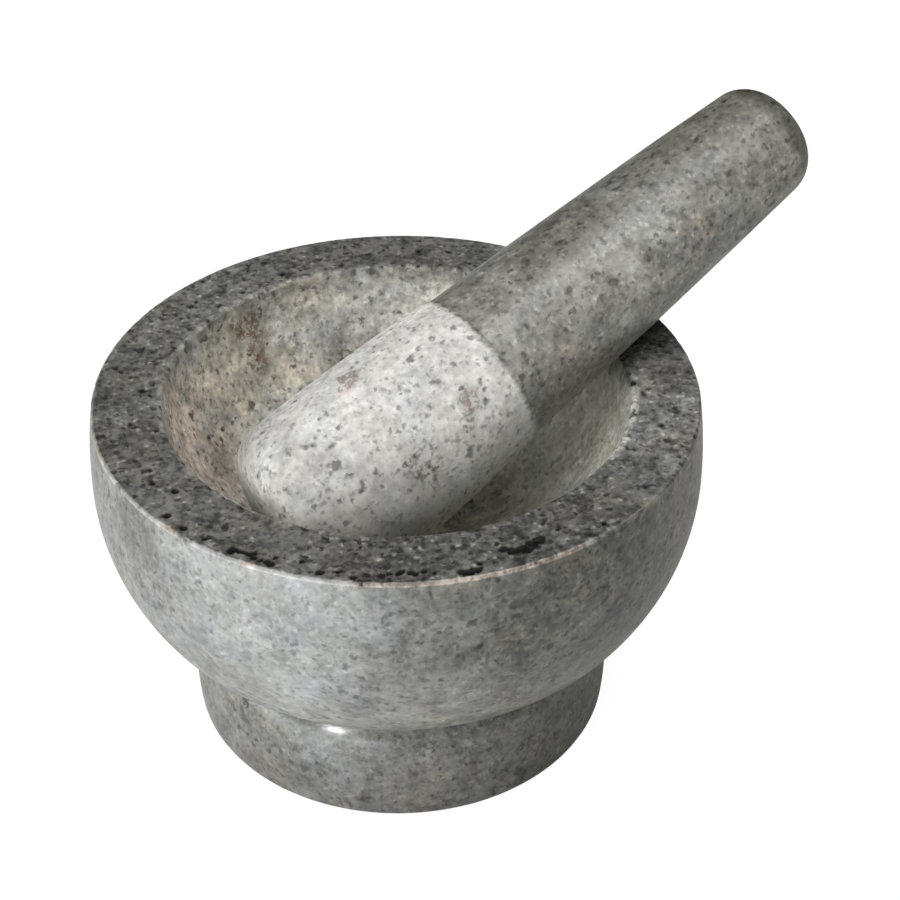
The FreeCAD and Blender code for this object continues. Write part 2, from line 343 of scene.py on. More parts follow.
rim_pits = Pits(
    pit_field(230, on_rim, radius=(0.6, 1.5), depth=(0.08, 0.42))
    + pit_field(26, on_edge, radius=(0.6, 1.6), depth=(0.10, 0.38))
    + pit_field(60, on_mouth, radius=(0.8, 2.0), depth=(0.15, 0.5))
    + [pit for run in CRACKS for pit in crack(*run)]
    + [(*on_circle(math.radians(azimuth), radius, TOP), size, CHIP_DEPTH)
       for azimuth, radius, size in CHIPS]
)
pores = Pits(pit_field(150, on_wall, radius=(0.7, 1.5), depth=(0.06, 0.22)))


def mortar_surface(v):
    """Where a vertex goes, and how deep in a pit it is."""
    r = math.hypot(v.x, v.y)
    if r < 1e-6:
        return v, 0.0
    radial = Vector((v.x / r, v.y / r, 0.0))
    up = Vector((0, 0, 1))
    if v.z > HOLLOW_FROM and r < MOUTH_FLAT + 0.01:  # hollow: shallow marks and coarse grain
        normal = (Vector((0, 0, SPHERE_Z)) - v).normalized()
        if v.z > TOP - MOUTH_EASE:
            normal = (normal + up * ease(v.z, off=TOP - MOUTH_EASE, full=TOP) * 1.6).normalized()
        near_mouth = ease(v.z, off=TOP - 9.0, full=TOP - 0.5)
        height = uneven(v, (0.10, 0.32, 3.0), (0.07, 0.9, 11.0))
        # upright marks down the wall
        height += 0.05 * noise.noise(Vector((math.atan2(v.y, v.x) * 22.0, v.z * 0.05, 2.0)))
        height += uneven(v, (near_mouth * 0.12, 0.5, 23.0))
        hole = rim_pits.depth(v)
        # hardly any stone is added, so the clearance round the pestle stays
        return v + normal * (min(height, 0.05) - hole), hole
    if v.z > TOP - RIM_EASE - 0.05:  # flat rim and its eased outer edge
        flat = ease(r, off=RIM_R - 0.1, full=RIM_R - RIM_EASE)
        normal = (radial * (1 - flat) + up * flat).normalized()
        height = uneven(v, (0.05, 0.45, 5.0)) + (uneven(v, (0.09, 1.1, 9.0)) - 0.03) * flat
        hole = rim_pits.depth(v)
        return v + normal * (min(height, 0.06) - hole), hole
    if v.z < 0.02:  # underside, slightly raised inside the foot's edge
        lift = 0.04 + abs(uneven(v, (0.04, 0.6, 8.0)))
        return v + up * lift * ease(r, off=51.0, full=46.0), 0.0
    # polished outside: slow unevenness and a few open pores
    height = uneven(v, (0.05, 0.055, 2.0), (0.018, 0.25, 6.0))
    hole = rim_pits.depth(v) * ease(v.z, off=TOP - 4.0, full=TOP - 1.0) + pores.depth(v)
    return v + radial * (height - hole), hole


mortar = mortar_profile().build("mortar_granite", mortar_surface)
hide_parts("mortar")
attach(mortar, "mortar")


# ---------------------------------------------------------------- pestle shape
def pestle_profile():
    stick = Turned()
    full = [PESTLE_SIDES]
    stick.pole(0.0)
    stick.arc_to(corner_touch(TIP_DOME, *HEAD), TIP_DOME, [36] * 2 + [72] * 2 + [144] * 5 + full * 7)
    stick.arc_to(HEAD, corner_radius(TIP_DOME, *HEAD), full * 16)
    stick.arc_to(COLLAR, 555.0, full * 62)
    for radius, z in (*COLLAR_STEP, HANDLE):
        stick.ring(radius, z, PESTLE_SIDES)
    stick.arc_to(GRIP, 3060.0, full * 84)
    end_r, end_run = corner_touch(END_DOME, GRIP[0], END_RUN)
    dome_start = (end_r, LENGTH - end_run)
    stick.arc_to(dome_start, corner_radius(END_DOME, GRIP[0], END_RUN), full * 14)
    # the arc's last step is the pole
    for (radius, z), sides in zip(arc(dome_start, (0.0, LENGTH), END_DOME, 7),
                                  [144] * 3 + [72] * 3):
        stick.ring(radius, z, sides)
    stick.pole(LENGTH)
    return stick


def on_pestle():
    """Mostly on the head, with a share on the handle."""
    angle, z = any_angle(), rng.uniform(2.0, 62.0)
    if rng.random() < 0.22:
        z = rng.uniform(68.0, 155.0)
    if z < 13:
        radius = 20.0
    elif z < 64:
        radius = 23.2 - 0.036 * z
    else:
        radius = HANDLE[0] - 0.0565 * (z - HANDLE[1])
    return on_circle(angle, radius, z)


pestle_pits = Pits(pit_field(240, on_pestle, radius=(0.5, 1.25), depth=(0.05, 0.28)))


def pestle_surface(v):
    """Where a vertex goes, and how deep in a pit it is."""
    r = math.hypot(v.x, v.y)
    if r < 1e-6:
        return v, 0.0
    hole = pestle_pits.depth(v)
    if v.z < COLLAR[1]:  # ground head
        middle = Vector((0.0, 0.0, min(max(v.z, 16.0), 60.0)))
        height = uneven(v, (0.035, 0.4, 4.0), (0.045, 1.0, 13.0)) - 0.05
        return v + (v - middle).normalized() * (min(height, 0.0) - hole), hole
    # polished handle: shallower pits
    hole *= 0.6
    height = uneven(v, (0.06, 0.04, 7.0), (0.015, 0.3, 15.0)) - 0.03
    return v + Vector((v.x / r, v.y / r, 0.0)) * (min(height, 0.02) - hole), hole


pestle = pestle_profile().build("pestle_granite", pestle_surface)
lean_axis = Vector((-math.sin(LEAN_ROUND), math.cos(LEAN_ROUND), 0.0))
lean = Matrix.Rotation(math.pi / 2 - LEAN_UP, 4, lean_axis)
pestle.data.transform(Matrix.Translation(TIP * MM) @ lean)
bpy.context.view_layer.update()
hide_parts("pestle")
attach(pestle, "pestle")


# ---------------------------------------------------------------- node helpers
class Nodes:
    """Short ways to add shader nodes. Any value may be a number, a tuple or a node's socket."""

    def __init__(self, owner, output="OutputMaterial"):
        owner.use_nodes = True
        self.tree = owner.node_tree
        self.tree.nodes.clear()
        self.out = self.add(output)

    def add(self, kind, inputs=(), **settings):
        node = self.tree.nodes.new("ShaderNode" + kind)
        for key, value in settings.items():
            setattr(node, key, value)
        for key, value in dict(inputs).items():
            self.put(node.inputs[key], value)
        return node

    def put(self, socket, value):
        if isinstance(value, bpy.types.NodeSocket):
            self.tree.links.new(value, socket)
        elif isinstance(value, tuple) and socket.type == "RGBA" and len(value) == 3:
            socket.default_value = (*value, 1.0)
        else:
            socket.default_value = value

    def show(self, shader):
        self.put(self.out.inputs[0], shader.outputs[0])

    def locate(self, place):
        """Sets the millimetre coordinates that the stone is laid out in."""
        self.place = place
        self.x, self.y, self.z = self.add("SeparateXYZ", {0: place}).outputs
        squares = self.plus(self.times(self.x, self.x), self.times(self.y, self.y))
        self.radius = self.math("SQRT", squares)

    def math(self, operation, *values):
        return self.add("Math", enumerate(values), operation=operation).outputs[0]

    def times(self, *terms):
        return reduce(lambda a, b: self.math("MULTIPLY", a, b), terms)

    def plus(self, *terms):
        return reduce(lambda a, b: self.math("ADD", a, b), terms)

    def most(self, a, b):
        return self.math("MAXIMUM", a, b)

    def rest(self, mask):
        return self.math("SUBTRACT", 1.0, mask)

    def centred(self, field, gain):
        return self.times(self.math("SUBTRACT", field, 0.5), gain)

    def along(self, x_part, y_part):
        """Distance along a level direction."""
        return self.plus(self.times(self.x, x_part), self.times(self.y, y_part))

    def vector(self, operation, inputs):
        node = self.add("VectorMath", inputs, operation=operation)
        return node.outputs["Value" if operation == "DISTANCE" else 0]

    def scaled(self, vector, factor):
        return self.vector("SCALE", {0: vector, "Scale": factor})

    def shifted(self, *offset):
        return self.vector("ADD", {0: self.place, 1: offset})

    def mix(self, mask, a, b, blend="MIX"):
        inputs = {0: mask, 6: a, 7: b}
        return self.add("Mix", inputs, data_type="RGBA", blend_type=blend).outputs[2]

    def mix_value(self, mask, a, b):
        return self.add("Mix", {0: mask, 2: a, 3: b}, data_type="FLOAT").outputs[0]

    def tint(self, colour, *steps):
        """Each step is (mask, factor): colour is multiplied by factor where mask is 1."""
        for mask, factor in steps:
            if isinstance(factor, float):
                factor = (factor,) * 3
            colour = self.mix(mask, colour, self.mix(1.0, colour, factor, "MULTIPLY"))
        return colour

    def noise(self, place, scale, detail, rough, output="Fac"):
        inputs = {"Vector": place, "Scale": scale, "Detail": detail, "Roughness": rough}
        return self.add("TexNoise", inputs).outputs[output]

    def ease(self, x, off, full):
        """Smooth mask: 0 at off, 1 at full."""
        inputs = {"Value": x, "From Min": off, "From Max": full}
        return self.add("MapRange", inputs, interpolation_type="SMOOTHSTEP").outputs["Result"]

    def remap(self, x, span, to):
        inputs = {"Value": x, "From Min": span[0], "From Max": span[1],
                  "To Min": to[0], "To Max": to[1]}
        return self.add("MapRange", inputs).outputs["Result"]

    def ball(self, centre, radius, soft):
        """Mask of a ragged ball."""
        distance = self.vector("DISTANCE", {0: self.place, 1: centre})
        ragged = self.centred(self.noise(self.place, scale=0.5, detail=3.0, rough=0.6),
                              gain=radius * 1.1)
        return self.ease(self.plus(distance, ragged), off=radius + soft, full=radius - soft)

    def balls(self, *table):
        """Mask of several balls: centre, radius, softness."""
        masks = [self.ball(*row) for row in table]
        return reduce(lambda inner, outer: self.most(outer, inner), reversed(masks))

    def lighter_darker_balls(self, colour, zone, table):
        """Broad lighter and darker balls, some of them painted shade and painted highlight: centre,
        radius, softness, factor.
        """
        for centre, radius, soft, factor in table:
            blue = factor * (0.99 if factor < 1 else 1.0)
            mask = self.times(self.ball(centre, radius, soft), zone)
            colour = self.tint(colour, (mask, (factor, factor, blue)))
        return colour

    def cells(self, size, seed, warp):
        """Irregular grains: a value per grain, distance to its centre in sizes, a second value."""
        place = self.shifted(seed, -seed * 1.7, seed * 0.6)
        wobble = self.noise(place, scale=1.0 / size, detail=2.0, rough=0.6, output="Color")
        wobble = self.vector("SUBTRACT", {0: wobble, 1: (0.5, 0.5, 0.5)})
        wobble = self.scaled(wobble, 2.0 * warp * size)
        place = self.vector("ADD", {0: place, 1: wobble})
        grains = self.add("TexVoronoi", {"Vector": place, "Scale": 1.0 / size})
        split = self.add("SeparateColor", {0: grains.outputs["Color"]})
        return split.outputs[0], grains.outputs["Distance"], split.outputs[1]


# ---------------------------------------------------------------- granite
class Stone:
    """The fields every finish of one piece shares, so that grains run on across its zones."""

    def __init__(self, N, seed):
        self.N = N
        self.grain, distance, _ = N.cells(size=1.15, seed=seed, warp=0.55)
        self.fine = N.noise(N.shifted(seed, 2.0, 5.0), scale=0.46, detail=4.0, rough=0.66)
        self.patch = N.noise(N.shifted(7.0, seed, 1.0), scale=0.17, detail=3.0, rough=0.55)
        self.cloud = N.noise(N.shifted(3.0, 9.0, seed), scale=0.055, detail=2.0, rough=0.5)
        smudge = N.noise(N.shifted(seed, -4.0, seed), scale=0.33, detail=4.0, rough=0.72)
        self.smudge = N.ease(smudge, off=0.56, full=0.70)
        self.pale = N.times(N.math("GREATER_THAN", self.grain, 0.87),
                            N.ease(distance, off=0.55, full=0.25))
        fleck, variety = self.spots(N.cells(size=1.75, seed=seed + 3.0, warp=0.7),
                                    share=0.32, reach=(0.40, 0.22), core=0.16)
        self.fleck = N.times(fleck, N.plus(N.times(variety, 0.5), 0.5))
        blot_share = N.times(N.ease(self.patch, off=0.42, full=0.60), 0.40)
        self.blot, _ = self.spots(N.cells(size=3.5, seed=seed + 20.0, warp=0.75),
                                  share=blot_share, reach=(0.34, 0.18), core=0.14)
        self.drift = N.noise(N.shifted(seed, seed * 2.0, -seed), scale=0.075, detail=2.0,
                             rough=0.55)
        # fine dark mica, thicker in some places than in others
        dust = N.times(N.math("LESS_THAN", self.grain, 0.24),
                       N.ease(distance, off=0.62, full=0.30))
        self.mica = N.times(dust, N.ease(self.fine, off=0.40, full=0.62))

    def spots(self, cells, share, reach, core):
        """Spots in a share of the cells; reach is (least, variation) of their outer radius."""
        N = self.N
        value, distance, variety = cells
        spot = N.ease(distance, off=N.plus(N.times(variety, reach[1]), reach[0]), full=core)
        return N.times(N.math("LESS_THAN", value, share), spot), variety

    def lightness(self, strengths, *marks):
        """Lightness factor around 1, from a strength for each field."""
        N = self.N
        parts = [N.centred(getattr(self, key), strengths[key])
                 for key in ("grain", "fine", "patch", "cloud")]
        light = N.most(N.plus(*parts, *marks, 1.0), 0.15)
        light = N.times(light, N.plus(1.0, N.times(self.pale, strengths["pale"])))
        for key in ("smudge", "fleck", "blot", "mica"):
            light = N.times(light, N.rest(N.times(getattr(self, key), strengths[key])))
        return light

    def drifted(self, colour, cool, warm):
        """Drifts between a cooler and a warmer grey over 10 to 20 mm."""
        N = self.N
        return N.tint(colour, (N.ease(self.drift, off=0.50, full=0.36), cool),
                      (N.ease(self.drift, off=0.52, full=0.66), warm))

    def relief(self, roughness, strength):
        """Roughness varied by the finest grain, and the bumped normal."""
        N = self.N
        micro = N.noise(N.place, scale=2.6, detail=3.0, rough=0.7)
        height = N.plus(N.times(self.grain, 0.25), N.times(micro, 0.6))
        bump = N.add("Bump", {"Strength": strength, "Distance": 0.00022, "Height": height})
        return N.plus(roughness, N.centred(micro, gain=0.14)), bump.outputs[0]


def show_granite(N, colour, roughness, normal, **more):
    inputs = {"Base Color": colour, "Roughness": roughness, "Normal": normal, "IOR": 1.54}
    N.show(N.add("BsdfPrincipled", {**inputs, **more}))


def grey(tone, red=1.01, blue=1.0):
    return tone * red, tone, tone * blue


# ---------------------------------------------------------------- mortar material
OUTER_TONE, RIM_TONE, HOLLOW_TONE = 0.124, 0.122, 0.475
MORTAR_STRENGTHS = dict(  # outside, rim, hollow
    grain=(0.36, 0.62, 0.22), fine=(1.60, 2.15, 1.65), patch=(1.50, 1.80, 1.60),
    cloud=(0.70, 0.60, 0.60), smudge=(0.46, 0.56, 0.46), pale=(0.20, 0.52, 0.10),
    fleck=(0.66, 0.84, 0.64), blot=(0.64, 0.86, 0.58), mica=(0.34, 0.38, 0.30),
)
# centre, radius, softness, factor of broad lighter and darker balls
# in the hollow: the first two are painted shadow beside the pestle's head, the other two lighten the
# back wall and the +X wall
HOLLOW_BALLS = (
    ((-44.1, 19.2, 69.8), 8.0, 6.0, 0.68), ((-44.5, 7.6, 65.8), 7.0, 6.0, 0.62),
    ((7.4, 55.1, 87.5), 12.0, 8.0, 1.28), ((50.2, 7.0, 76.1), 12.0, 7.0, 1.30),
)
# on the rim: lighter at the back left, and the pestle's painted shadow on the +X side
RIM_BALLS = (((-46.0, 38.0, TOP), 22.0, 8.0, 1.27), ((69.5, 2.0, TOP), 7.5, 4.5, 0.55))
# on the wall and the foot
WALL_BALLS = (
    ((-58.0, -46.0, 84.0), 10.0, 6.0, 0.76), ((-30.0, -44.0, 16.0), 14.0, 8.0, 0.80),
    ((15.0, -52.0, 24.0), 12.0, 7.0, 1.20), ((-29.6, -67.0, 60.7), 8.5, 5.0, 0.82),
)
# centre, radius, softness
RUST_SPOTS = (
    ((-38.5, 39.5, 85.0), 6.0, 3.0), ((-37.0, 37.5, 77.0), 4.5, 3.0),
    ((-13.0, 46.0, 70.0), 5.0, 4.0),
)


def turning_marks(N, hollow):
    """Faint marks: round the axis on the rim, down the wall in the hollow."""
    around, along = 34.0, 0.16  # scales across and along the marks
    safe = N.most(N.radius, 1.0)
    pairs = (  # on the rim, in the hollow
        (N.radius, N.times(N.math("DIVIDE", N.x, safe), around)),
        (N.times(N.x, along), N.times(N.math("DIVIDE", N.y, safe), around)),
        (N.times(N.y, along), N.times(N.z, along)),
    )
    place = N.add("CombineXYZ", enumerate([N.mix_value(hollow, *pair) for pair in pairs]))
    return N.noise(place.outputs[0], scale=0.8, detail=3.0, rough=0.6)


def mortar_base(N, top, hollow, wall, turned, dark_run):
    """Colour of each zone before the grain is laid over it."""
    base = N.mix(hollow, N.mix(top, grey(OUTER_TONE, blue=0.91), grey(RIM_TONE, blue=0.90)),
                 grey(HOLLOW_TONE, blue=0.885))
    right_rim = N.times(N.ball((70.0, -10.0, TOP), radius=24.0, soft=10.0), N.times(top, 0.9))
    base = N.mix(right_rim, base, grey(RIM_TONE * 1.75, blue=0.90))
    base = N.mix(N.times(dark_run, 0.85), base, grey(RIM_TONE * 0.66, blue=0.89))

    far_right_reflection = N.times(N.ease(N.x, off=60.0, full=74.0), wall)
    low_left_light = N.times(N.ease(N.z, off=42.0, full=34.0), N.ease(N.x, off=0.0, full=-28.0), wall)
    skirt = N.times(N.ease(N.z, off=51.5, full=47.0), N.ease(N.z, off=31.0, full=33.0), wall)
    dull = N.most(N.times(N.ball((-33.0, 39.0, 76.0), radius=13.0, soft=9.0), hollow),
                  N.times(N.ball((-49.0, -55.0, 64.0), radius=11.0, soft=9.0), wall))
    shade_under_pestle = N.times(N.ball((23.0, 7.0, 49.0), radius=15.0, soft=10.0), hollow)
    right_patch = N.times(N.ball((50.0, -6.0, 78.0), radius=15.0, soft=9.0), hollow)
    back = N.times(N.ease(N.y, off=24.0, full=50.0), hollow)
    return N.tint(
        base,
        # painted shade: darker and more olive towards +X, the side less light reaches
        (turned, (0.70, 0.70, 0.61)),  # darker and more olive towards +X
        # painted reflection: the far +X edge of the wall lighter and warmer, as it mirrors the
        # bright surroundings at a glancing angle
        (far_right_reflection, (1.90, 1.64, 1.60)),
        # painted light: the low -X part of the wall lighter, as if lit from the bright floor
        (low_left_light, 1.22),
        # painted reflection of the bright floor on the skirt
        (skirt, (1.16, 1.16, 1.15)),
        (dull, 0.91),
        # painted shade in the bottom of the hollow, where the pestle's shadow falls
        (shade_under_pestle, (0.78, 0.78, 0.76)),
        (right_patch, (1.34, 1.34, 1.32)),
        (back, (1.0, 1.0, 1.02)),
    )


def brown_hollow(N, stone, colour, hollow):
    """Browned wall on the -X side of the hollow, with rusty spots."""
    side = N.plus(N.along(-0.93, 0.30), N.centred(stone.cloud, gain=46.0))
    stain = N.times(N.ease(side, off=22.0, full=48.0), hollow, 0.9)
    ruddy = N.times(N.ball((-50.0, -8.0, 76.0), radius=22.0, soft=9.0), hollow)
    rust = N.times(N.balls(*RUST_SPOTS), N.ease(stone.fine, off=0.47, full=0.53))
    stained_spots = N.times(stain, N.most(N.times(stone.smudge, 0.55), stone.blot))
    rust = N.times(N.most(rust, stained_spots), hollow)
    return N.tint(colour, (stain, (1.45, 1.36, 1.26)), (ruddy, (0.98, 0.90, 0.93)),
                  (rust, (0.42, 0.31, 0.27)))


def make_mortar_material():
    material = bpy.data.materials.new("granite_turned")
    N = Nodes(material)
    N.locate(N.scaled(N.add("TexCoord").outputs["Object"], 1000.0))
    stone = Stone(N, seed=1.0)

    # zones
    ragged = N.centred(N.noise(N.place, scale=0.42, detail=4.0, rough=0.65), gain=3.4)
    ragged_r = N.plus(N.radius, ragged)
    hollow = N.times(N.math("GREATER_THAN", N.z, HOLLOW_FROM),
                     N.ease(ragged_r, off=MOUTH_FLAT + 0.7, full=MOUTH_FLAT - 3.2))
    edge_wobble = N.centred(N.noise(N.place, scale=0.9, detail=3.0, rough=0.6), gain=0.8)
    edge_r = N.plus(N.radius, edge_wobble)
    top = N.times(N.ease(N.z, off=TOP - 0.85, full=TOP - 0.45),
                  N.ease(edge_r, off=RIM_R - 0.40, full=RIM_R - 0.80), N.rest(hollow))
    edge_highlight = N.times(N.ease(N.z, off=TOP - 1.15, full=TOP - 0.75),
                        N.ease(edge_r, off=RIM_R - 0.95, full=RIM_R - 0.6),
                        N.remap(N.x, span=(38.0, 58.0), to=(1.0, 0.45)), N.rest(top))
    under = N.ease(N.z, off=0.25, full=0.08)
    wall = N.times(N.rest(top), N.rest(hollow))
    # the +X side of the wall, where shade is painted and the grain is harder
    turned = N.times(N.ease(N.x, off=-6.0, full=42.0), wall)

    def by_zone(outside, rim, inside):
        return N.mix_value(hollow, N.mix_value(top, outside, rim), inside)

    # grain
    marks = N.centred(turning_marks(N, hollow), gain=by_zone(0.0, 0.9, 0.8))
    strengths = {key: by_zone(*values) for key, values in MORTAR_STRENGTHS.items()}
    light = stone.lightness(strengths, marks)
    # harder, darker speckle along the front of the rim
    dark_run = N.times(N.ball((22.0, -66.0, TOP), radius=36.0, soft=14.0), top)
    dark_run = N.most(dark_run, N.times(top, 0.14))
    light = N.mix_value(dark_run, light, N.times(N.math("POWER", light, 1.6), 0.98))
    # calmer on the +X side of the hollow, harder on the +X side of the wall
    calm = N.times(N.ease(N.x, off=14.0, full=40.0), hollow)
    light = N.mix_value(N.times(calm, 0.28), light, 1.12)
    light = N.mix_value(turned, light, N.math("POWER", light, 1.45))

    # colour
    base = mortar_base(N, top, hollow, wall, turned, dark_run)
    colour = stone.drifted(N.scaled(base, light), cool=(0.975, 1.0, 1.06),
                           warm=(1.01, 0.998, 0.955))
    colour = brown_hollow(N, stone, colour, hollow)
    # broad lighter and darker balls over each zone, painted shadows among them
    for zone, table in ((hollow, HOLLOW_BALLS), (top, RIM_BALLS), (wall, WALL_BALLS)):
        colour = N.lighter_darker_balls(colour, zone, table)
    # painted highlight: a paler line on the outer edge where the light catches it, warmer at the
    # front right and in odd spots elsewhere
    beige = N.most(N.ball((25.0, -69.0, TOP), radius=17.0, soft=6.0),
                   N.ease(stone.drift, off=0.56, full=0.64))
    edge_highlight_colour = N.mix(beige, (0.25, 0.25, 0.24), (0.38, 0.325, 0.27))
    colour = N.mix(N.times(edge_highlight, 0.75), colour, N.scaled(edge_highlight_colour, light))
    # painted highlight: a bright lip on the right of the mouth, where the light catches its rounding
    lip = N.times(N.ease(ragged_r, off=52.5, full=54.5),
                  N.ease(N.radius, off=MOUTH_FLAT + 1.2, full=MOUTH_FLAT - 0.2),
                  N.math("GREATER_THAN", N.z, 80.0),
                  N.ball((55.0, -13.0, 90.0), radius=14.0, soft=8.0))
    colour = N.mix(N.times(lip, 0.8), colour, N.scaled((0.60, 0.60, 0.55), light))
    colour = N.mix(under, colour, N.scaled((0.16, 0.16, 0.15), light))
    # painted shade: the colour darkens with a pit's depth
    pit = N.add("Attribute", attribute_name="pit").outputs["Fac"]
    pit_span = (0.0, 0.34)  # mm
    colour = N.scaled(colour, N.remap(pit, span=pit_span, to=(1.0, 0.07)))

    # finish
    rough = by_zone(0.35, 0.62, 0.85)
    shoulder = N.times(N.ease(N.z, off=17.0, full=22.0), N.ease(N.z, off=31.0, full=29.0))
    rough = N.mix_value(shoulder, rough, 0.22)
    rough = N.mix_value(under, rough, 0.8)
    rough, normal = stone.relief(rough, strength=by_zone(0.05, 0.45, 0.42))
    rough = N.plus(rough, N.times(stone.fleck, 0.06))
    specular = N.remap(pit, span=pit_span, to=(0.5, 0.16))
    show_granite(N, colour, rough, normal, **{"Specular IOR Level": specular})
    return material


# ---------------------------------------------------------------- pestle material
HEAD_TONE, HANDLE_TONE = 0.54, 0.262
PESTLE_STRENGTHS = dict(  # head, handle
    grain=(0.12, 0.30), fine=(1.05, 1.60), patch=(0.80, 1.70), cloud=(0.30, 0.60),
    smudge=(0.38, 0.46), pale=(0.05, 0.30), fleck=(0.60, 0.66), blot=(0.62, 0.62),
    mica=(0.36, 0.30),
)
# centre, radius, softness, factor; the handle's balls are painted highlights
HANDLE_HIGHLIGHTS = (
    ((-10.6, -13.9, 119.5), 8.0, 5.0, 1.28), ((-0.9, -18.0, 108.0), 8.0, 5.0, 1.24),
    ((0.8, -18.6, 98.4), 6.0, 5.0, 1.20), ((-15.0, -11.0, 71.0), 10.0, 6.0, 1.34),
)
# the head's: a darker ball near the tip
HEAD_BALLS = (((-18.5, -1.4, 5.1), 6.0, 4.0, 0.82),)
# centre, radius, softness
BROWN_SPOTS = (
    ((4.4, -22.4, 34.4), 4.6, 2.6), ((-20.4, -10.2, 34.0), 3.4, 1.6),
    ((-0.5, -21.6, 52.3), 2.6, 2.0), ((12.0, 19.0, 26.0), 4.0, 2.5),
)
PINK_SPOTS = (
    ((6.4, -18.8, 77.0), 5.0, 4.0), ((4.2, -16.7, 125.0), 6.0, 4.5),
    ((-9.0, 14.0, 100.0), 7.0, 5.0),
)
DOWN_SIDE = (0.80, 0.60)    # the pestle's own x and y parts of its side that faces down
UP_SIDE = (-0.866, -0.5)


def tint_head(N, stone, colour, polished):
    # painted shade: the side that faces the floor of the bowl is darker
    low = N.plus(N.along(*DOWN_SIDE), N.centred(stone.fine, gain=9.0))
    taper = N.times(N.math("SUBTRACT", N.most(N.z, 17.0), 20.0), 0.42)
    low = N.ease(N.math("SUBTRACT", low, taper), off=-19.0, full=6.0)
    nose = N.ease(N.plus(N.z, N.centred(stone.patch, gain=14.0)), off=26.0, full=9.0)
    # painted light: a paler ring round the tip, lifting its end face out of shade
    tip = N.times(N.ease(N.z, off=7.0, full=2.0), N.ease(N.radius, off=9.0, full=15.0))
    # painted light: paler towards the collar, but not on the uppermost side
    lit_side = N.times(N.ease(N.z, off=26.0, full=42.0),
                    N.ease(N.along(*DOWN_SIDE), off=-22.0, full=-12.0))
    return N.tint(
        colour,
        (N.times(low, N.rest(polished)), (0.46, 0.46, 0.44)),
        (N.times(nose, N.ease(N.z, off=3.0, full=9.0)), (0.82, 0.82, 0.81)),
        (tip, (1.38, 1.36, 1.32)),
        (N.times(lit_side, N.rest(polished)), (1.18, 1.18, 1.17)),
    )


def tint_handle(N, stone, colour, polished):
    # painted reflection: a darker run along the upper side, where the polish mirrors dark
    # surroundings, wider towards the end
    dark_reflection = N.plus(N.along(*UP_SIDE), N.centred(stone.patch, gain=8.0))
    widening = N.times(N.math("SUBTRACT", N.z, 100.0), 0.04)
    dark_reflection = N.times(N.ease(N.plus(dark_reflection, widening), off=12.0, full=18.0), polished)
    # darker round the turned end, except on the pestle's own +X side
    end = N.plus(N.z, N.centred(stone.patch, gain=3.0))
    ring = N.times(N.ease(end, off=157.0, full=160.5), N.ease(N.x, off=13.0, full=4.0))
    return N.tint(
        colour,
        (dark_reflection, (0.60, 0.60, 0.59)),
        (N.times(ring, polished), (0.60, 0.60, 0.57)),
        (N.ease(N.z, off=128.0, full=150.0), (0.95, 0.94, 0.90)),  # warmer grip
        # painted shade on the handle's lower side, slightly olive
        (N.times(N.ease(N.x, off=6.0, full=13.0), polished), (0.89, 0.89, 0.84)),
    )


def tint_spots(N, stone, colour, polished):
    """Brown veins and a faint halo on the head, pinkish feldspar on the handle."""
    brown = N.times(N.balls(*BROWN_SPOTS), N.ease(stone.fine, off=0.42, full=0.54),
                    N.rest(polished))
    halo = N.times(N.ball((-19.0, -12.5, 32.4), radius=3.4, soft=2.0), N.rest(polished))
    pink = N.times(N.balls(*PINK_SPOTS), N.ease(stone.fine, off=0.38, full=0.60), polished)
    return N.tint(colour, (N.times(halo, 0.6), (1.16, 1.04, 1.03)),
                  (N.times(brown, 0.9), (0.40, 0.32, 0.29)),
                  (N.times(pink, 0.7), (1.22, 1.0, 0.93)))


def make_pestle_material():
    material = bpy.data.materials.new("granite_ground_and_polished")
    N = Nodes(material)
    N.locate(N.add("Attribute", attribute_name="own").outputs["Vector"])
    stone = Stone(N, seed=3.0)
    ragged = N.plus(
        N.centred(N.noise(N.place, scale=0.7, detail=4.0, rough=0.65), gain=3.8),
        N.centred(N.noise(N.place, scale=0.14, detail=2.0, rough=0.5), gain=2.0))
    polished = N.ease(N.plus(N.z, ragged), off=COLLAR[1] - 0.8, full=COLLAR[1] + 1.3)

    light = stone.lightness({key: N.mix_value(polished, *values)
                             for key, values in PESTLE_STRENGTHS.items()})
    base = N.mix(polished, grey(HEAD_TONE, blue=0.95), grey(HANDLE_TONE, red=1.005, blue=0.885))
    colour = stone.drifted(N.scaled(base, light), cool=(0.985, 1.0, 1.03),
                           warm=(1.0, 1.0, 0.982))
    colour = tint_head(N, stone, colour, polished)
    colour = tint_handle(N, stone, colour, polished)
    # painted highlights on the handle
    colour = N.lighter_darker_balls(colour, polished, HANDLE_HIGHLIGHTS)
    colour = N.lighter_darker_balls(colour, N.rest(polished), HEAD_BALLS)
    colour = tint_spots(N, stone, colour, polished)
    # painted shade: the colour darkens with a pit's depth
    pit = N.add("Attribute", attribute_name="pit").outputs["Fac"]
    colour = N.scaled(colour, N.remap(pit, span=(0.0, 0.26), to=(1.0, 0.42)))

    handle_rough = N.remap(N.z, span=(95.0, 150.0), to=(0.35, 0.50))
    rough, normal = stone.relief(N.mix_value(polished, 0.9, handle_rough),
                                 strength=N.mix_value(polished, 0.36, 0.04))
    show_granite(N, colour, rough, normal)
    return material


mortar.data.materials.append(make_mortar_material())
pestle.data.materials.append(make_pestle_material())

# ---------------------------------------------------------------- floor
FLOOR_HALF, FLOOR_DROP = 6, 0.0003  # metres


def camera_mix(N, share, other, seen):
    """Shows the camera the second shader by share, and everything else the first."""
    return N.add("MixShader", {0: share, 1: other.outputs[0], 2: seen.outputs[0]})


